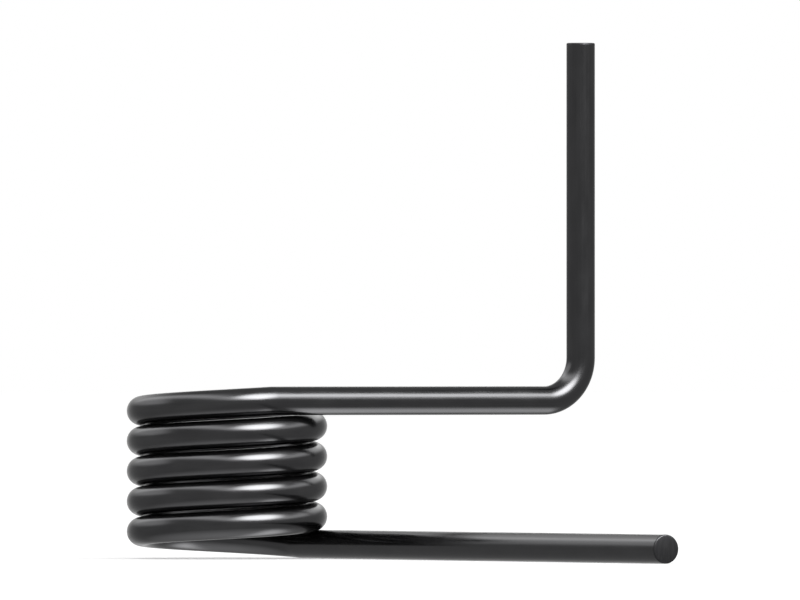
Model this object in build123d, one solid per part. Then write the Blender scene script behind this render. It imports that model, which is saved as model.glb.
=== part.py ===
from build123d import *
import math
import os

# A torsion spring: one length of round wire wound into a close coil, with a
# straight leg off each end of it. The legs stand at a right angle to each other,
# and the upper one ends in an elbow that turns it up along the coil's axis.
# Millimetres. The origin is on the coil's axis, in the plane the spring stands on.
# The coil's axis is +Z, the lower leg runs along -Y and the upper leg along +X.

wire_diameter = 3.0
coil_inside_diameter = 15.0
coil_turns = 4.75             # counter-clockwise going up; the odd 0.75 squares the legs
turn_gap = 0.16               # between one turn and the next, along the coil's axis
lower_leg_length = 74.0       # from where it leaves the coil to its free end
upper_leg_length = 37.8       # from where it leaves the coil to the upturned end's axis
upturned_end_height = 37.6    # from the upper leg's axis to the free end
elbow_inside_radius = 3.0
levelling_inside_radius = 4.5  # of the slight bend that turns the sloping coil level
end_break = 0.15              # the small chamfer round each cut end

wire_radius = wire_diameter / 2
coil_radius = coil_inside_diameter / 2 + wire_radius
coil_pitch = wire_diameter + turn_gap
coil_rise = coil_pitch * coil_turns
elbow_radius = elbow_inside_radius + wire_radius
levelling_radius = levelling_inside_radius + wire_radius

coil_slope = math.atan2(coil_pitch, 2 * math.pi * coil_radius)
levelling_run = levelling_radius * math.sin(coil_slope)
levelling_rise = levelling_radius * (1 - math.cos(coil_slope))

lower_leg_height = wire_radius
coil_start_height = lower_leg_height + levelling_rise
upper_leg_height = coil_start_height + coil_rise + levelling_rise

LOWER, UPPER = -1, 1          # the way along Y that each leg leaves the coil


def wire_section(centre, direction):
    """The wire's round section, square to its path at one point."""
    return Plane(origin=centre, z_dir=direction) * Circle(wire_radius)


def straight_wire(start, end):
    """A straight length of the wire, from one point to another."""
    run = Vector(end) - Vector(start)
    return extrude(wire_section(start, run), run.length)


def bent_wire(start, direction, pivot, angle):
    """A length of the wire bent about the line through the pivot along X."""
    return revolve(wire_section(start, direction), Axis(pivot, (1, 0, 0)), angle)


def coil():
    """The wound body, from the lower leg's bend to the upper leg's."""
    path = Helix(coil_pitch, coil_rise, coil_radius, center=(0, 0, coil_start_height))
    return sweep(wire_section(path @ 0, path % 0), path=path, is_frenet=True)


def levelling_bend(way, height):
    """The slight bend between the coil's slope and a level leg at that height."""
    level_end = (coil_radius, way * levelling_run, height)
    pivot = (coil_radius, way * levelling_run, height - way * levelling_radius)
    return bent_wire(level_end, (0, -way, 0), pivot, math.degrees(coil_slope))


def lower_leg():
    """The long level leg that the spring stands on."""
    root = (coil_radius, LOWER * levelling_run, lower_leg_height)
    free_end = (coil_radius, LOWER * lower_leg_length, lower_leg_height)
    return levelling_bend(LOWER, lower_leg_height) + straight_wire(root, free_end)


def upper_leg():
    """The level leg off the coil's top, its elbow and its upturned end."""
    elbow_start = upper_leg_length - elbow_radius
    elbow_top = upper_leg_height + elbow_radius
    free_end_height = upper_leg_height + upturned_end_height
    leg = straight_wire((coil_radius, UPPER * levelling_run, upper_leg_height),
                        (coil_radius, elbow_start, upper_leg_height))
    elbow = bent_wire((coil_radius, elbow_start, upper_leg_height), (0, UPPER, 0),
                      (coil_radius, elbow_start, elbow_top), 90)
    upturned_end = straight_wire((coil_radius, upper_leg_length, elbow_top),
                                 (coil_radius, upper_leg_length, free_end_height))
    as_at_first_turn = levelling_bend(UPPER, upper_leg_height) + leg + elbow + upturned_end
    return Rot(Z=360 * coil_turns) * as_at_first_turn


def break_cut_ends(wire):
    """Takes the sharp edge off the two cut ends of the wire."""
    lower_end = wire.faces().sort_by(Axis.Y)[0]
    upper_end = wire.faces().sort_by(Axis.Z)[-1]
    return chamfer(lower_end.edges() + upper_end.edges(), end_break)


def torsion_spring():
    """The whole spring as one continuous wire."""
    return break_cut_ends(lower_leg() + coil() + upper_leg())


os.makedirs("parts", exist_ok=True)
export_step(torsion_spring(), "parts/torsion_spring.step")
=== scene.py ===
"""A torsion spring of dark round steel wire: its shape, its finish and a plain studio.

Everything is in metres, in the part's own frame. The coil's axis is +Z, the lower leg lies on
the floor and runs along -Y, and the upper leg runs along +X and turns up at its elbow.
"""

import bisect
import logging
import math
from dataclasses import dataclass, field
from enum import Enum

import bmesh
import bpy
from mathutils import Matrix, Vector
from mathutils.kdtree import KDTree


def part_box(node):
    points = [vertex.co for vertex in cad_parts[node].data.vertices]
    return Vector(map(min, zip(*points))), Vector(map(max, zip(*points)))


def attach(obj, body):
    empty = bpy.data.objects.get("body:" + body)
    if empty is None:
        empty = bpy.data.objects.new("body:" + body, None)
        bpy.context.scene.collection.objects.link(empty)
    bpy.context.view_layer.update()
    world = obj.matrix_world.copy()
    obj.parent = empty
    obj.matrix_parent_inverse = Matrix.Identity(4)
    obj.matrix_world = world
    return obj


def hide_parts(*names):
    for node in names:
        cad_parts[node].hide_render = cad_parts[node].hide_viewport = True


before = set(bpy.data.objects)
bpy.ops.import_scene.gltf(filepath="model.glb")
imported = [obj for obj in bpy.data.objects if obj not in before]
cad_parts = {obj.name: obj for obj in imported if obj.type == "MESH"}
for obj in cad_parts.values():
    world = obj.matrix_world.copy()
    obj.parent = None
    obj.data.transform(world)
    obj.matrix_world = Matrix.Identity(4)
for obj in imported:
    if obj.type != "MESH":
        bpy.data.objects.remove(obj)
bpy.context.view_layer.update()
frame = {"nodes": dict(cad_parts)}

Colour = tuple[float, float, float]
UP = Vector((0.0, 0.0, 1.0))
WHITE = (1.0, 1.0, 1.0, 1.0)
HALFWAY = 0.5  # the middle of a noise, and of a blend between two colours
log = logging.getLogger("torsion_spring")


# ---------------------------------------------------------------- shader maths


class Graph:
    """The node tree of a material, a world or a lamp, and the one way nodes are added to it."""

    def __init__(self, tree: bpy.types.NodeTree) -> None:
        """Takes over a node tree and empties it.

        Args:
            tree: The node tree of a material, a world or a lamp.
        """
        self.tree = tree
        tree.nodes.clear()

    def add(
        self,
        kind: str,
        settings: dict[str, object] | None = None,
        inputs: dict[str, object] | None = None,
    ) -> bpy.types.Node:
        """Adds a node, sets its settings and then fills its sockets.

        Args:
            kind: The node's type, without the word ShaderNode.
            settings: The node's own properties, such as a Math node's operation.
            inputs: A value, a Signal or an output socket for each socket's identifier.

        Returns:
            The new node.
        """
        node = self.tree.nodes.new("ShaderNode" + kind)
        for name, value in (settings or {}).items():
            setattr(node, name, value)
        sockets = {socket.identifier: socket for socket in node.inputs}
        for name, value in (inputs or {}).items():
            if isinstance(value, Signal):
                self.tree.links.new(value.socket, sockets[name])
            elif isinstance(value, bpy.types.NodeSocket):
                self.tree.links.new(value, sockets[name])
            else:
                sockets[name].default_value = value
        return node

    def read(
        self,
        output: str,
        kind: str,
        settings: dict[str, object] | None = None,
        inputs: dict[str, object] | None = None,
    ) -> "Signal":
        """Adds a node and returns one of its outputs as a number.

        Args:
            output: The output's name.
            kind: The node's type, without the word ShaderNode.
            settings: The node's own properties.
            inputs: A value, a Signal or an output socket for each socket's identifier.

        Returns:
            The output, ready for sums.
        """
        node = self.add(kind, settings, inputs)
        return Signal(self, node.outputs[output])

    def blend(self, share: "Signal", first: Colour, second: Colour) -> bpy.types.NodeSocket:
        """Blends two colours.

        Args:
            share: How much of the second colour there is, held between 0 and 1.
            first: The colour where the share is 0.
            second: The colour where the share is 1.

        Returns:
            The colour's socket.
        """
        ends = {"A_Color": (*first, 1.0), "B_Color": (*second, 1.0)}
        node = self.add("Mix", {"data_type": "RGBA"}, {"Factor_Float": share, **ends})
        return next(out for out in node.outputs if out.identifier == "Result_Color")


@dataclass(frozen=True)
class Signal:
    """An output socket that gives a number, so that shader maths reads as Python."""

    graph: Graph
    socket: bpy.types.NodeSocket

    def _maths(self, operation: str, *terms: object) -> "Signal":
        """Adds a Math node.

        Args:
            operation: The Math node's operation.
            terms: The one or two numbers or Signals it works on, in order.

        Returns:
            The result.
        """
        names = ("Value", "Value_001")
        return self.graph.read("Value", "Math", {"operation": operation}, dict(zip(names, terms)))

    def __add__(self, other: object) -> "Signal":
        """Adds a number or a Signal."""
        return self._maths("ADD", self, other)

    def __radd__(self, other: object) -> "Signal":
        """Adds this to a number."""
        return self._maths("ADD", other, self)

    def __sub__(self, other: object) -> "Signal":
        """Takes away a number or a Signal."""
        return self._maths("SUBTRACT", self, other)

    def __rsub__(self, other: object) -> "Signal":
        """Takes this away from a number."""
        return self._maths("SUBTRACT", other, self)

    def __mul__(self, other: object) -> "Signal":
        """Multiplies by a number or a Signal."""
        return self._maths("MULTIPLY", self, other)

    def __rmul__(self, other: object) -> "Signal":
        """Multiplies a number by this."""
        return self._maths("MULTIPLY", other, self)

    def at_least(self, other: object) -> "Signal":
        """Returns the larger of this and a number or a Signal."""
        return self._maths("MAXIMUM", self, other)

    def step_up(self, low: float, high: float) -> "Signal":
        """Rises smoothly from 0 to 1.

        Args:
            low: Where the rise starts.
            high: Where the rise ends.

        Returns:
            0 below low and 1 above high.
        """
        return self.graph.read(
            "Result",
            "MapRange",
            {"interpolation_type": "SMOOTHSTEP"},
            {"Value": self, "From Min": low, "From Max": high},
        )


# ---------------------------------------------------------------- the wire's shape


@dataclass(frozen=True)
class Section:
    """One round section of the wire.

    Attributes:
        centre: The point on the wire's axis.
        heading: The way the wire goes on from here.
        outward: The side of the wire that faces away from the coil's axis.
        along: The length of wire between here and the start of the coil, less than 0 below it.
        way: 1 where the heading goes up the wire and -1 where it goes down.
    """

    centre: Vector
    heading: Vector
    outward: Vector
    along: float = 0.0
    way: int = 1

    @property
    def side(self) -> Vector:
        """Returns the side a quarter turn from the outward one, the same whichever the way."""
        return self.outward.cross(self.heading) * self.way

    def back(self) -> "Section":
        """Returns the same section with the wire going the other way."""
        return Section(self.centre, -self.heading, self.outward, self.along, -self.way)

    def moved(self, move: Matrix, length: float) -> "Section":
        """Carries the section on along the wire.

        Args:
            move: How the wire turns and moves on the way.
            length: The length of wire between the two sections.

        Returns:
            The next section.
        """
        turn = move.to_3x3()
        return Section(
            move @ self.centre,
            turn @ self.heading,
            turn @ self.outward,
            self.along + self.way * length,
            self.way,
        )


class WireBench:
    """Forms a round wire from one open ring, as a wire former does: wind, feed, bend, cut.

    The wire's ring-by-ring course is kept, so that its finish can follow it. The slacks, and the
    room for a cut face on the unrolled skin, are shares of the wire's radius.
    """

    PLACE_MAP = "wire_place"
    SKIN_MAP = "OFBake"
    PLANE_SLACK = 1e-3
    ROUND_SLACK = 1e-2
    DISC_ROOM = 2.4

    def __init__(self, name: str, radius: float, sides: int) -> None:
        """Prepares an empty bench.

        Args:
            name: The name of the piece that is formed.
            radius: The wire's radius.
            sides: How many flat sides stand for the round wire.
        """
        self.name = name
        self.radius = radius
        self.sides = sides
        self.course: list[Section] = []
        self.piece: bpy.types.Object | None = None

    def start(self, section: Section) -> None:
        """Lays the open ring that the wire grows from.

        Args:
            section: Where the ring goes.
        """
        bpy.ops.object.select_all(action="DESELECT")
        across = section.heading.cross(section.outward)
        turned = Matrix((section.outward, across, section.heading)).transposed()
        bpy.ops.mesh.primitive_circle_add(
            vertices=self.sides,
            radius=self.radius,
            location=section.centre,
            rotation=turned.to_euler(),
        )
        self.piece = bpy.context.active_object
        self.piece.name = self.name
        self.piece.data.name = self.name
        bpy.ops.object.transform_apply(location=True, rotation=True, scale=True)
        self.course.append(section)

    def wind(self, start: Section, turns: float, rise: float, rings: int) -> Section:
        """Winds the ring round the Z axis into a coil.

        Args:
            start: The section that the coil starts from.
            turns: The number of turns, counter-clockwise seen from above.
            rise: How far the whole coil climbs.
            rings: How many sections the coil is divided into.

        Returns:
            The section at the coil's upper end.
        """
        screw = self.piece.modifiers.new("winding", "SCREW")
        screw.axis = "Z"
        screw.angle = 2 * math.pi * turns
        screw.screw_offset = rise
        screw.steps = screw.render_steps = rings
        screw.use_merge_vertices = False
        bpy.ops.object.modifier_apply(modifier=screw.name)
        around = 2 * math.pi * turns * start.centre.xy.length
        length = math.hypot(around, rise)
        turn = Matrix.Rotation(2 * math.pi * turns / rings, 4, "Z")
        step = Matrix.Translation(UP * rise / rings) @ turn
        for _ in range(rings):
            self.course.append(self.course[-1].moved(step, length / rings))
        return self.course[-1]

    def pick_up(self, section: Section) -> None:
        """Selects the open ring at a section, in edit mode.

        Args:
            section: Where the open ring is.
        """
        bpy.ops.object.mode_set(mode="EDIT")
        bpy.ops.mesh.select_mode(type="EDGE")
        bpy.ops.mesh.select_all(action="DESELECT")
        mesh = bmesh.from_edit_mesh(self.piece.data)
        picked = 0
        for edge in mesh.edges:
            if all(self._on(section, vertex.co) for vertex in edge.verts):
                edge.select_set(True)
                picked += 1
        bmesh.update_edit_mesh(self.piece.data)
        if picked != self.sides:
            raise RuntimeError(f"{self.name}: {picked} edges at {section.centre}, not one ring")

    def _on(self, section: Section, point: Vector) -> bool:
        """Tells whether a point is on the wire's surface at a section.

        Args:
            section: The section.
            point: The point.

        Returns:
            True where it is.
        """
        reach = point - section.centre
        flat = abs(reach.dot(section.heading)) < self.radius * self.PLANE_SLACK
        return flat and abs(reach.length - self.radius) < self.radius * self.ROUND_SLACK

    def feed(self, section: Section, length: float) -> Section:
        """Draws the wire straight on.

        Args:
            section: The open ring that it goes on from.
            length: The length of the straight stretch.

        Returns:
            The section at the end of the stretch.
        """
        self.pick_up(section)
        shift = section.heading * length
        bpy.ops.mesh.extrude_region_move(TRANSFORM_OT_translate={"value": shift})
        bpy.ops.object.mode_set(mode="OBJECT")
        self.course.append(section.moved(Matrix.Translation(shift), length))
        return self.course[-1]

    def bend(
        self, section: Section, towards: Vector, radius: float, angle: float, rings: int
    ) -> Section:
        """Bends the wire on an arc.

        Args:
            section: The open ring that it goes on from.
            towards: The direction from the wire's axis to the middle of the bend.
            radius: The bend's radius at the wire's axis.
            angle: How far it bends, in radians.
            rings: How many sections the bend is divided into.

        Returns:
            The section at the end of the bend.
        """
        self.pick_up(section)
        middle = section.centre + towards * radius
        axis = section.heading.cross(towards)
        # The spin operator turns against the right-hand rule.
        bpy.ops.mesh.spin(steps=rings, angle=angle, center=middle, axis=-axis)
        bpy.ops.object.mode_set(mode="OBJECT")
        turn = Matrix.Rotation(angle / rings, 4, axis)
        step = Matrix.Translation(middle) @ turn @ Matrix.Translation(-middle)
        self.course.append(section)
        for _ in range(rings):
            self.course.append(self.course[-1].moved(step, radius * angle / rings))
        return self.course[-1]

    def cut(self, section: Section, end_break: float, rings: int) -> Section:
        """Cuts the wire off square, with the edge of the cut rounded over.

        A short straight collar comes first, so that the rounding doesn't shade the long stretch.

        Args:
            section: The open ring where the collar starts.
            end_break: The radius of the rounded edge, and the length of the collar.
            rings: How many sections the rounded edge is divided into.

        Returns:
            The section at the cut face.
        """
        section = self.feed(section, end_break)
        self.pick_up(section)
        across, gone = self.radius, 0.0
        for count in range(1, rings + 1):
            angle = math.pi / 2 * count / rings
            ahead = end_break * math.sin(angle)
            narrowed = self.radius - end_break * (1 - math.cos(angle))
            shift = section.heading * (ahead - gone)
            bpy.ops.mesh.extrude_region_move(TRANSFORM_OT_translate={"value": shift})
            section = section.moved(Matrix.Translation(shift), ahead - gone)
            self.course.append(section)
            bpy.ops.transform.resize(
                value=(narrowed / across,) * 3, center_override=section.centre
            )
            across, gone = narrowed, ahead
        bpy.ops.mesh.edge_face_add()
        bpy.ops.object.mode_set(mode="OBJECT")
        return section

    def true_up(self, crease: float) -> None:
        """Closes the seams, turns every face outwards and smooths the round faces.

        Args:
            crease: The angle between two faces past which their edge stays sharp.
        """
        bpy.ops.object.mode_set(mode="EDIT")
        bpy.ops.mesh.select_all(action="SELECT")
        bpy.ops.mesh.remove_doubles(threshold=self.radius * self.PLANE_SLACK)
        bpy.ops.mesh.normals_make_consistent(inside=False)
        bpy.ops.mesh.select_all(action="DESELECT")
        bpy.ops.object.mode_set(mode="OBJECT")
        bpy.ops.object.shade_smooth_by_angle(angle=crease)

    def map_places(self) -> None:
        """Gives each point its place on the straightened wire: outward, sideways and along."""
        tree = KDTree(len(self.course))
        for index, section in enumerate(self.course):
            tree.insert(section.centre, index)
        tree.balance()
        places = self.piece.data.attributes.new(self.PLACE_MAP, "FLOAT_VECTOR", "POINT")
        for vertex, place in zip(self.piece.data.vertices, places.data):
            section = self.course[tree.find(vertex.co)[1]]
            reach = vertex.co - section.centre
            place.vector = (reach.dot(section.outward), reach.dot(section.side), section.along)

    def unroll(self, strips: int, gap: float) -> None:
        """Unrolls the wire's skin into strips that lie side by side, as its UV map.

        Each strip starts and ends at a ring, and each cut face lies as a disc past its end.

        Args:
            strips: How many strips there are.
            gap: The share of a strip's width, and of its length, that is left clear.
        """
        mesh = self.piece.data
        places = mesh.attributes[self.PLACE_MAP].data
        lengths = sorted(section.along for section in self.course)
        disc = self.radius * self.DISC_ROOM
        low, high = lengths[0] - disc, lengths[-1] + disc
        breaks = [low]
        for count in range(1, strips):
            target = low + (high - low) * count / strips
            breaks.append(min(lengths, key=lambda length: abs(length - target)))
        breaks.append(high)
        longest = max(end - start for start, end in zip(breaks, breaks[1:]))
        skin = mesh.uv_layers.new(name=self.SKIN_MAP)
        for face in mesh.polygons:
            corners = [places[index].vector for index in face.vertices]
            middle = sum(corners, Vector()) / len(corners)
            row = bisect.bisect(breaks, middle.z) - 1
            for loop, corner in zip(face.loop_indices, corners):
                if len(corners) == self.sides:
                    past, turn = disc / 2 - corner.x, corner.y / self.radius
                else:
                    past = self.radius - corner.xy.length
                    turn = math.atan2(middle.y, middle.x) + corner.xy.angle_signed(middle.xy)
                along = corner.z + math.copysign(past, middle.z) - breaks[row]
                around = (math.pi + turn) / (2 * math.pi)
                skin.uv[loop].vector = (
                    gap / 2 + (1 - gap) * along / longest,
                    (row + gap / 2 + (1 - gap) * around) / strips,
                )


@dataclass(frozen=True)
class CoilSpan:
    """Where the wound, bent and cut stretches lie along the straightened wire.

    Attributes:
        coil: The length of wire in the coil, which starts at 0.
        elbow_start: Where the elbow starts.
        elbow_end: Where the elbow ends.
        radius: The wire's radius.
    """

    coil: float
    elbow_start: float
    elbow_end: float
    radius: float


@dataclass
class TorsionSpring:
    """The spring: one length of round wire, wound, bent, cut and finished.

    The lengths of its legs come from the frame, and the rest are its own sizes.

    Attributes:
        body: The body that it rides on.
        node: The CAD node that it stands for.
        slot: The material slot of its finish. Not used.
        piece_name: The name of its piece.
        wire_diameter: The wire's diameter.
        coil_inside_diameter: The coil's inside diameter.
        coil_turns: The number of turns, counter-clockwise going up.
        turn_gap: The gap between one turn and the next, along the coil's axis.
        elbow_inside_radius: The elbow's radius on its inside.
        levelling_inside_radius: The same for the slight bend at each end of the coil.
        end_break: The radius of the rounded edge of a cut end.
        wire_sides: How many flat sides stand for the round wire.
        rings_a_turn: How many sections a turn is divided into.
        elbow_rings: The same for the elbow.
        levelling_rings: The same for the slight bend at each end of the coil.
        end_rings: The same for the rounded edge of a cut end.
        crease: The angle between two faces past which their edge stays sharp, in radians.
        skin_strips: How many strips the unrolled skin is laid out in.
        skin_gap: The share of a strip that is left clear.
        low: The lowest corner of the node's box.
        high: The highest corner of the node's box.
        bench: The bench that forms the wire.
        span: Where the coil and the elbow lie along the wire.
        cut_faces: The sections at the lower and the upper cut face.
    """

    body: str = "root"
    node: str = "torsion_spring"
    slot: str = "spring_wire"
    piece_name: str = "wound_wire"
    wire_diameter: float = 0.003
    coil_inside_diameter: float = 0.015
    coil_turns: float = 4.75
    turn_gap: float = 0.00016
    elbow_inside_radius: float = 0.003
    levelling_inside_radius: float = 0.0045
    end_break: float = 0.00015
    wire_sides: int = 64
    rings_a_turn: int = 120
    elbow_rings: int = 30
    levelling_rings: int = 4
    end_rings: int = 4
    crease: float = math.radians(35)
    skin_strips: int = 5
    skin_gap: float = 0.04
    low: Vector = field(init=False)
    high: Vector = field(init=False)
    bench: WireBench = field(init=False)
    span: CoilSpan = field(init=False)
    cut_faces: tuple[Section, Section] = field(init=False)

    def __post_init__(self) -> None:
        """Takes the node's box from the frame and sets up the bench."""
        self.low, self.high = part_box(self.node)
        self.bench = WireBench(self.piece_name, self.wire_radius, self.wire_sides)

    @property
    def wire_radius(self) -> float:
        """Returns half the wire's diameter."""
        return self.wire_diameter / 2

    @property
    def coil_radius(self) -> float:
        """Returns the coil's radius at the wire's axis."""
        return self.coil_inside_diameter / 2 + self.wire_radius

    @property
    def coil_rise(self) -> float:
        """Returns how far the coil climbs from end to end."""
        return (self.wire_diameter + self.turn_gap) * self.coil_turns

    @property
    def coil_slope(self) -> float:
        """Returns the coil's slope, in radians."""
        return math.atan2(self.wire_diameter + self.turn_gap, 2 * math.pi * self.coil_radius)

    @property
    def levelling_radius(self) -> float:
        """Returns the radius of the slight bend between the sloping coil and a level leg."""
        return self.levelling_inside_radius + self.wire_radius

    def build(self) -> bpy.types.Object:
        """Models the whole wire.

        Returns:
            The piece, closed and smooth, with its places on the straightened wire.
        """
        levelling_rise = self.levelling_radius * (1 - math.cos(self.coil_slope))
        coil_start = Section(
            Vector((self.coil_radius, 0.0, self.low.z + self.wire_radius + levelling_rise)),
            Vector((0.0, math.cos(self.coil_slope), math.sin(self.coil_slope))),
            Vector((1.0, 0.0, 0.0)),
        )
        self.bench.start(coil_start)
        rings = round(self.rings_a_turn * self.coil_turns)
        coil_end = self.bench.wind(coil_start, self.coil_turns, self.coil_rise, rings)
        lower_end = self._lower_leg(coil_start.back())
        elbow_start, elbow_end, upper_end = self._upper_leg(coil_end)
        self.bench.true_up(self.crease)
        self.bench.map_places()
        self.bench.unroll(self.skin_strips, self.skin_gap)
        self.span = CoilSpan(
            coil_end.along, elbow_start.along, elbow_end.along, self.wire_radius
        )
        self.cut_faces = (lower_end, upper_end)
        return self.bench.piece

    def _lower_leg(self, section: Section) -> Section:
        """Levels the wire under the coil and draws the lower leg to its cut end.

        Args:
            section: The start of the coil, heading down the wire.

        Returns:
            The section at the cut face.
        """
        section = self.bench.bend(
            section, section.side, self.levelling_radius, self.coil_slope, self.levelling_rings
        )
        section = self.bench.feed(section, section.centre.y - self.low.y - 2 * self.end_break)
        return self.bench.cut(section, self.end_break, self.end_rings)

    def _upper_leg(self, section: Section) -> tuple[Section, Section, Section]:
        """Levels the wire over the coil, draws the upper leg, turns it up and cuts it.

        Args:
            section: The end of the coil, heading up the wire.

        Returns:
            The sections at the elbow's two ends and at the cut face.
        """
        section = self.bench.bend(
            section, -section.side, self.levelling_radius, self.coil_slope, self.levelling_rings
        )
        elbow_radius = self.elbow_inside_radius + self.wire_radius
        upturned_x = self.high.x - self.wire_radius
        elbow_start = self.bench.feed(section, upturned_x - elbow_radius - section.centre.x)
        elbow_end = self.bench.bend(
            elbow_start, elbow_start.side, elbow_radius, math.pi / 2, self.elbow_rings
        )
        section = self.bench.feed(elbow_end, self.high.z - elbow_end.centre.z - 2 * self.end_break)
        return elbow_start, elbow_end, self.bench.cut(section, self.end_break, self.end_rings)

    def dress(self, wire: bpy.types.Material, cut: bpy.types.Material) -> None:
        """Gives the wire and its two cut ends, with their rounded edges, their materials.

        Args:
            wire: The finish of the round wire.
            cut: The finish of the cut ends.
        """
        mesh = self.bench.piece.data
        mesh.materials.append(wire)
        mesh.materials.append(cut)
        for face in mesh.polygons:
            for end in self.cut_faces:
                short_of_end = (end.centre - face.center).dot(end.heading)
                if short_of_end < self.end_break:
                    face.material_index = mesh.materials.find(cut.name)

    def join_frame(self) -> None:
        """Puts the piece on its body, in place of the CAD solid."""
        piece = self.bench.piece
        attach(piece, self.body)
        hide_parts(self.node)


# ---------------------------------------------------------------- finishes


@dataclass(frozen=True)
class Grain:
    """A fine pattern in the steel's skin.

    Attributes:
        size: The size of one patch.
        stretch: How many times longer a patch is than its size, along X, Y and Z.
        detail: How many finer layers it has.
        tone: How far it moves the colour from the darkest tone to the palest.
        matt: How far it moves the roughness.
    """

    size: float
    stretch: tuple[float, float, float]
    detail: float
    tone: float
    matt: float

    def noise(self, graph: Graph, place: bpy.types.NodeSocket) -> Signal:
        """Makes the pattern.

        Args:
            graph: The material's graph.
            place: The place that the pattern follows.

        Returns:
            The pattern, as far below 0 as above it.
        """
        scale = tuple(1.0 / stretch for stretch in self.stretch)
        drawn = graph.add("Mapping", None, {"Vector": place, "Scale": scale}).outputs["Vector"]
        layers = {"Vector": drawn, "Scale": 1.0 / self.size, "Detail": self.detail}
        return graph.read("Fac", "TexNoise", None, layers) - HALFWAY


@dataclass(frozen=True, kw_only=True)
class SteelFinish:
    """Dark steel with a pattern in its tone, its gloss and its relief.

    Attributes:
        name: The material's name.
        dark: The darkest tone.
        pale: The palest tone.
        edge: How much of the steel's brightness is left seen at a glancing angle.
        roughness: The middle roughness.
        relief: The height of the pattern.
        metal: The share that shines as bare metal. The rest is scale.
    """

    name: str
    dark: Colour
    pale: Colour
    edge: float
    roughness: float
    relief: float
    metal: float = 0.93

    def material(self) -> bpy.types.Material:
        """Makes the material.

        Returns:
            The material.
        """
        material = bpy.data.materials.new(self.name)
        material.use_nodes = True
        graph = Graph(material.node_tree)
        tone, matt, height = self._pattern(graph)
        relief = {"Strength": 1.0, "Distance": self.relief, "Height": height}
        shader = graph.add(
            "BsdfPrincipled",
            None,
            {
                "Base Color": graph.blend(HALFWAY + tone, self.dark, self.pale),
                "Metallic": self.metal,
                "Roughness": self.roughness + matt,
                "Specular Tint": (self.edge, self.edge, self.edge, 1.0),
                "Normal": graph.add("Bump", None, relief).outputs["Normal"],
            },
        )
        graph.add("OutputMaterial", None, {"Surface": shader.outputs["BSDF"]})
        return material

    def _pattern(self, graph: Graph) -> tuple[Signal, Signal, Signal]:
        """Makes the finish's pattern.

        Args:
            graph: The material's graph.

        Returns:
            How far the tone and the roughness are from their middles, and the relief.
        """
        raise NotImplementedError


@dataclass(frozen=True, kw_only=True)
class DrawnWireFinish(SteelFinish):
    """Tempered spring wire, smooth and glossy from the drawing die.

    The bands are limits across the wire, as shares of its radius, between which a rub begins.

    Attributes:
        span: Where the coil and the elbow lie along the wire.
        lines: The lines that the drawing die left along the wire.
        mottle: The patches in the tempered skin.
        roller_band: Where the winding rollers touched the outside of the coil.
        pin_band: Where the bending pin touched the inside of the elbow.
        rub_patches: The limits in the mottle between which a rub shows.
        rub_tone: How far a rub moves the colour to the palest tone.
        rub_polish: How much less rough a rub is.
    """

    span: CoilSpan
    name: str = "tempered_spring_wire"
    dark: Colour = (0.025, 0.025, 0.026)
    pale: Colour = (0.037, 0.037, 0.038)
    edge: float = 0.57
    roughness: float = 0.22
    relief: float = 0.0000035
    lines: Grain = Grain(0.00016, (1.0, 1.0, 90.0), 3.0, 0.55, 0.12)
    mottle: Grain = Grain(0.0014, (1.0, 1.0, 3.0), 4.0, 0.8, 0.2)
    roller_band: tuple[float, float] = (0.9, 0.99)
    pin_band: tuple[float, float] = (0.8, 0.98)
    rub_patches: tuple[float, float] = (-0.15, 0.15)
    rub_tone: float = 0.35
    rub_polish: float = 0.05

    def _pattern(self, graph: Graph) -> tuple[Signal, Signal, Signal]:
        """Makes the drawn lines, the mottle and the rubs.

        Args:
            graph: The material's graph.

        Returns:
            How far the tone and the roughness are from their middles, and the relief.
        """
        place = graph.add("Attribute", {"attribute_name": WireBench.PLACE_MAP}).outputs["Vector"]
        lines, mottle = self.lines.noise(graph, place), self.mottle.noise(graph, place)
        rub = self._rub(graph, place) * mottle.step_up(*self.rub_patches)
        tone = self.lines.tone * lines + self.mottle.tone * mottle + self.rub_tone * rub
        matt = self.lines.matt * lines + self.mottle.matt * mottle - self.rub_polish * rub
        return tone, matt, lines

    def _rub(self, graph: Graph, place: bpy.types.NodeSocket) -> Signal:
        """Marks where the winding rollers and the elbow's bending pin rubbed the wire.

        Args:
            graph: The material's graph.
            place: The place on the straightened wire.

        Returns:
            1 where the skin may be rubbed and 0 where it isn't.
        """
        split = graph.add("SeparateXYZ", None, {"Vector": place}).outputs
        outward, sideways, along = (Signal(graph, split[name]) for name in "XYZ")
        roller_low, roller_high = (share * self.span.radius for share in self.roller_band)
        pin_low, pin_high = (share * self.span.radius for share in self.pin_band)
        lead = 2 * self.span.radius
        in_coil = along.step_up(-lead, lead) * (
            1.0 - along.step_up(self.span.coil - lead, self.span.coil + lead)
        )
        in_elbow = along.step_up(self.span.elbow_start - lead, self.span.elbow_start) * (
            1.0 - along.step_up(self.span.elbow_end, self.span.elbow_end + lead)
        )
        roller = outward.step_up(roller_low, roller_high) * in_coil
        return roller + sideways.step_up(pin_low, pin_high) * in_elbow


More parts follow.
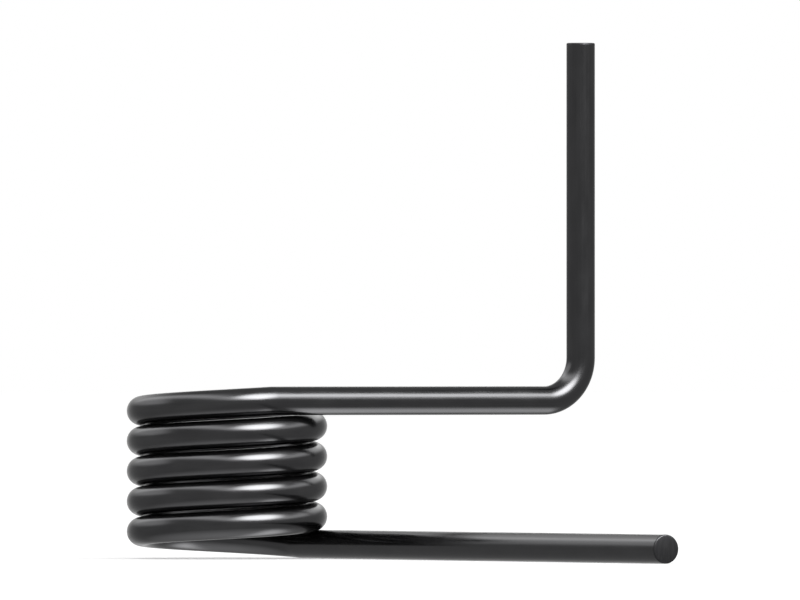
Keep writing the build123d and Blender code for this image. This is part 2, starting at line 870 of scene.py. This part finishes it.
@dataclass(frozen=True, kw_only=True)
class ShearedEndFinish(SteelFinish):
    """The cut end of the wire: sheared across, its edge rounded, then darkened with the rest.

    Attributes:
        ridges: The ridges that the shear blade left.
    """

    name: str = "sheared_wire_end"
    dark: Colour = (0.015, 0.015, 0.016)
    pale: Colour = (0.03, 0.03, 0.031)
    edge: float = 0.4
    roughness: float = 0.34
    relief: float = 0.000006
    ridges: Grain = Grain(0.00012, (1.0, 10.0, 10.0), 3.0, 1.0, 0.15)

    def _pattern(self, graph: Graph) -> tuple[Signal, Signal, Signal]:
        """Makes the shear ridges.

        Args:
            graph: The material's graph.

        Returns:
            How far the tone and the roughness are from their middles, and the relief.
        """
        ridges = self.ridges.noise(graph, graph.add("TexCoord").outputs["Object"])
        return self.ridges.tone * ridges, self.ridges.matt * ridges, ridges


# ---------------------------------------------------------------- the studio


class LampUse(Enum):
    """What a lamp does in the studio."""

    LIGHT = "lights surfaces"
    GLOSS = "shows in gloss"


@dataclass(frozen=True)
class Softbox:
    """A soft oval lamp, placed by where it is seen from the spring.

    Attributes:
        name: What the lamp is called.
        azimuth: Degrees round from the camera, to its right.
        elevation: Degrees above the spring.
        width: Degrees across, seen from the spring.
        height: Degrees high, seen from the spring.
        core: The share of its width that is evenly bright, before it fades to its edge.
        brightness: How many times brighter than white it is.
        use: Whether it lights surfaces or only shows in gloss.
    """

    name: str
    azimuth: float
    elevation: float
    width: float
    height: float
    core: float
    brightness: float
    use: LampUse


@dataclass(frozen=True)
class FloorCard:
    """A bright oval card under a grid, flat on the floor, which the wire's underside mirrors.

    Attributes:
        name: What the card is called.
        centre: Its centre along X and Y.
        length: Its length along X.
        width: Its width along Y.
        core: The share of its width that is evenly bright, before it fades to its edge.
        brightness: How many times brighter than white it is, seen from straight above.
        spread: How widely the grid on it lets it shine, in degrees.
        thickness: How far its face is above the floor.
        use: Whether it lights surfaces or only shows in gloss.
    """

    name: str
    centre: tuple[float, float]
    length: float
    width: float
    core: float
    brightness: float
    spread: float
    thickness: float = 0.0003
    use: LampUse = LampUse.GLOSS


@dataclass
class Studio:
    """A white floor, a white surround, soft lamps and the camera.

    Angles are in degrees. The middle of a lamp's face, and how far its edge is from there, are
    shares of the face.

    Attributes:
        camera_azimuth: Where the camera stands, round from the -Y side.
        camera_elevation: How high above the aim it stands.
        camera_distance: How far from the aim it stands.
        camera_sight: How far it sees.
        view_width: The width of its view at the aim.
        aim: The point in the middle of its view.
        lamp_distance: How far off the lamps that light surfaces hang.
        panel_distance: How far off the panels that only show in gloss hang.
        lamp_aim: The point that they all face.
        floor_size: The floor's length and width.
        floor_white: The share of light that the floor gives back.
        floor_lift: How much whiter than that it is where it is seen.
        ambient: How brightly the surround lights what stands in it, where 1 is white.
        softboxes: The lamps and the panels.
        cards: The cards on the floor.
    """

    MIDDLE = (0.5, 0.5, 0.0)
    EDGE = 0.5

    camera_azimuth: float = -30.56
    camera_elevation: float = -0.073
    camera_distance: float = 2.6
    camera_sight: float = 26.0
    view_width: float = 0.08378
    aim: tuple[float, float, float] = (0.015586, -0.00924, 0.027073)
    lamp_distance: float = 1.2
    panel_distance: float = 1.0
    lamp_aim: tuple[float, float, float] = (0.01, -0.01, 0.012)
    floor_size: float = 12.0
    floor_white: float = 0.86
    floor_lift: float = 0.32
    ambient: float = 0.8
    softboxes: tuple[Softbox, ...] = (
        Softbox("top_light", 20.0, 78.0, 80.0, 70.0, 0.3, 0.8, LampUse.LIGHT),
        Softbox("key_panel", 42.5, 42.0, 64.0, 54.0, 0.33, 33.0, LampUse.GLOSS),
        Softbox("overhead_panel", -66.0, 63.0, 146.0, 40.0, 0.0, 5.8, LampUse.GLOSS),
        Softbox("left_panel", -122.0, 30.0, 94.0, 47.0, 0.33, 2.8, LampUse.GLOSS),
        Softbox("right_panel", 121.0, 30.0, 137.0, 32.0, 0.0, 5.0, LampUse.GLOSS),
        Softbox("table_panel", 121.0, -61.0, 75.0, 32.0, 0.1, 7.5, LampUse.GLOSS),
    )
    cards: tuple[FloorCard, ...] = (
        FloorCard("coil_card", (0.0, 0.0), 0.056, 0.056, 0.4, 2.4, 110.0),
    )

    def build(self) -> None:
        """Sets up the floor, the surround, the lamps and the camera."""
        self._floor()
        self._surround()
        for softbox in self.softboxes:
            self._softbox(softbox)
        for card in self.cards:
            self._card(card)
        self._camera()

    def _direction(self, azimuth: float, elevation: float) -> Vector:
        """Works out a direction from the spring.

        Args:
            azimuth: Degrees round from the camera, to its right.
            elevation: Degrees above the horizon.

        Returns:
            The unit vector.
        """
        turn = math.radians(self.camera_azimuth + azimuth)
        climb = math.radians(elevation)
        flat = math.cos(climb)
        return Vector((math.sin(turn) * flat, -math.cos(turn) * flat, math.sin(climb)))

    def _seen_plainly(self, graph: Graph) -> Signal:
        """Tells the rays that see a surface as it is from those that carry its light on.

        Args:
            graph: The world's or the floor's graph.

        Returns:
            1 for the camera's rays and for those through gloss or glass, otherwise 0.
        """
        rays = graph.add("LightPath").outputs
        names = ("Is Camera Ray", "Is Glossy Ray", "Is Transmission Ray")
        camera, glossy, clear = (Signal(graph, rays[name]) for name in names)
        return camera.at_least(glossy).at_least(clear)

    def _floor(self) -> None:
        """Lays the white floor, which is lifted to white where it is seen and keeps shadows."""
        bpy.ops.object.select_all(action="DESELECT")
        bpy.ops.mesh.primitive_plane_add(size=self.floor_size)
        floor = bpy.context.active_object
        floor.name = "studio_floor"
        material = bpy.data.materials.new("studio_floor_white")
        material.use_nodes = True
        graph = Graph(material.node_tree)
        white = (self.floor_white,) * 3
        matt = graph.add("BsdfDiffuse", None, {"Color": (*white, 1.0)}).outputs["BSDF"]
        lift = self.floor_lift * self._seen_plainly(graph)
        glow = graph.add("Emission", None, {"Color": WHITE, "Strength": lift}).outputs["Emission"]
        both = graph.add("AddShader", None, {"Shader": matt, "Shader_001": glow})
        graph.add("OutputMaterial", None, {"Surface": both.outputs["Shader"]})
        floor.data.materials.append(material)
        # The gloss shows the surround and the table panel, which hangs below, in its place.
        floor.visible_glossy = False
        floor.visible_shadow = False
        log.info("studio_floor: %.0f m square, part of the stage", self.floor_size)

    def _surround(self) -> None:
        """Makes the surround, white where it is seen and gentler where it lights."""
        world = bpy.data.worlds.new("studio_surround")
        bpy.context.scene.world = world
        world.use_nodes = True
        world.cycles.sampling_method = "NONE"
        graph = Graph(world.node_tree)
        seen = self._seen_plainly(graph)
        strength = self.ambient + (1.0 - self.ambient) * seen
        surround = graph.add("Background", None, {"Color": WHITE, "Strength": strength})
        graph.add("OutputWorld", None, {"Surface": surround.outputs["Background"]})

    def _softbox(self, softbox: Softbox) -> None:
        """Hangs one lamp and turns it to the spring.

        Args:
            softbox: Where it goes, how large it is and how bright.
        """
        away = self._direction(softbox.azimuth, softbox.elevation)
        lights = softbox.use is LampUse.LIGHT
        distance = self.lamp_distance if lights else self.panel_distance
        width = 2 * distance * math.tan(math.radians(softbox.width / 2))
        height = 2 * distance * math.tan(math.radians(softbox.height / 2))
        self._lamp(softbox, Vector(self.lamp_aim) + away * distance, away, width, height)

    def _card(self, card: FloorCard) -> None:
        """Lays one card on the floor, facing up.

        Args:
            card: Where it goes, how large it is and how bright.
        """
        place = Vector((*card.centre, card.thickness))
        lamp = self._lamp(card, place, -UP, card.length, card.width)
        lamp.spread = math.radians(card.spread)
        # The grid gathers the light, so straight above it is as bright from less.
        half = lamp.spread / 2
        lamp.energy *= (math.tan(half) - half) / math.tan(half)

    def _lamp(
        self, glow: Softbox | FloorCard, place: Vector, away: Vector, width: float, height: float
    ) -> bpy.types.AreaLight:
        """Makes an oval lamp that fades towards its edge.

        Args:
            glow: What it is called, how bright it is and what it does.
            place: Its centre.
            away: The direction from what it shines on.
            width: Its width.
            height: Its height.

        Returns:
            The lamp.
        """
        lamp = bpy.data.lights.new(glow.name, "AREA")
        lamp.shape = "ELLIPSE"
        lamp.size = width
        lamp.size_y = height
        # An evenly bright face gives out pi times its brightness from each square metre.
        face = math.pi / 4 * width * height
        lamp.energy = glow.brightness * math.pi * face
        lamp.use_nodes = True
        graph = Graph(lamp.node_tree)
        spot = graph.add("NewGeometry").outputs["Parametric"]
        ends = {"Vector": spot, "Vector_001": self.MIDDLE}
        off_centre = graph.read("Value", "VectorMath", {"operation": "DISTANCE"}, ends)
        fade = 1.0 - off_centre.step_up(glow.core * self.EDGE, self.EDGE)
        light = graph.add("Emission", None, {"Color": WHITE, "Strength": fade})
        graph.add("OutputLight", None, {"Surface": light.outputs["Emission"]})
        hung = bpy.data.objects.new(glow.name, lamp)
        bpy.context.scene.collection.objects.link(hung)
        hung.location = place
        hung.rotation_euler = away.to_track_quat("Z", "Y").to_euler()
        hung.visible_camera = False
        hung.visible_diffuse = glow.use is LampUse.LIGHT
        hung.visible_glossy = glow.use is LampUse.GLOSS
        log.info("%s: a lamp that %s", glow.name, glow.use.value)
        return lamp

    def _camera(self) -> None:
        """Sets up the camera, a long lens far off, level with the spring."""
        back = self._direction(0.0, self.camera_elevation)
        lens = bpy.data.cameras.new("studio_camera")
        camera = bpy.data.objects.new("studio_camera", lens)
        bpy.context.scene.collection.objects.link(camera)
        camera.location = Vector(self.aim) + back * self.camera_distance
        camera.rotation_euler = back.to_track_quat("Z", "Y").to_euler()
        lens.lens = lens.sensor_width * self.camera_distance / self.view_width
        lens.clip_end = self.camera_sight
        bpy.context.scene.camera = camera
        bpy.context.scene.view_settings.view_transform = "Standard"


# ---------------------------------------------------------------- putting it together


def main() -> None:
    """Builds the spring and its studio, and reports each piece."""
    logging.basicConfig(level=logging.INFO, format="%(name)s: %(message)s")
    log.info("the frame holds %s", ", ".join(frame["nodes"]))
    spring = TorsionSpring()
    piece = spring.build()
    wire_finish = DrawnWireFinish(span=spring.span)
    spring.dress(wire_finish.material(), ShearedEndFinish().material())
    spring.join_frame()
    log.info("%s: %d faces", piece.name, len(piece.data.polygons))
    Studio().build()


if __name__ == "__main__":
    main()
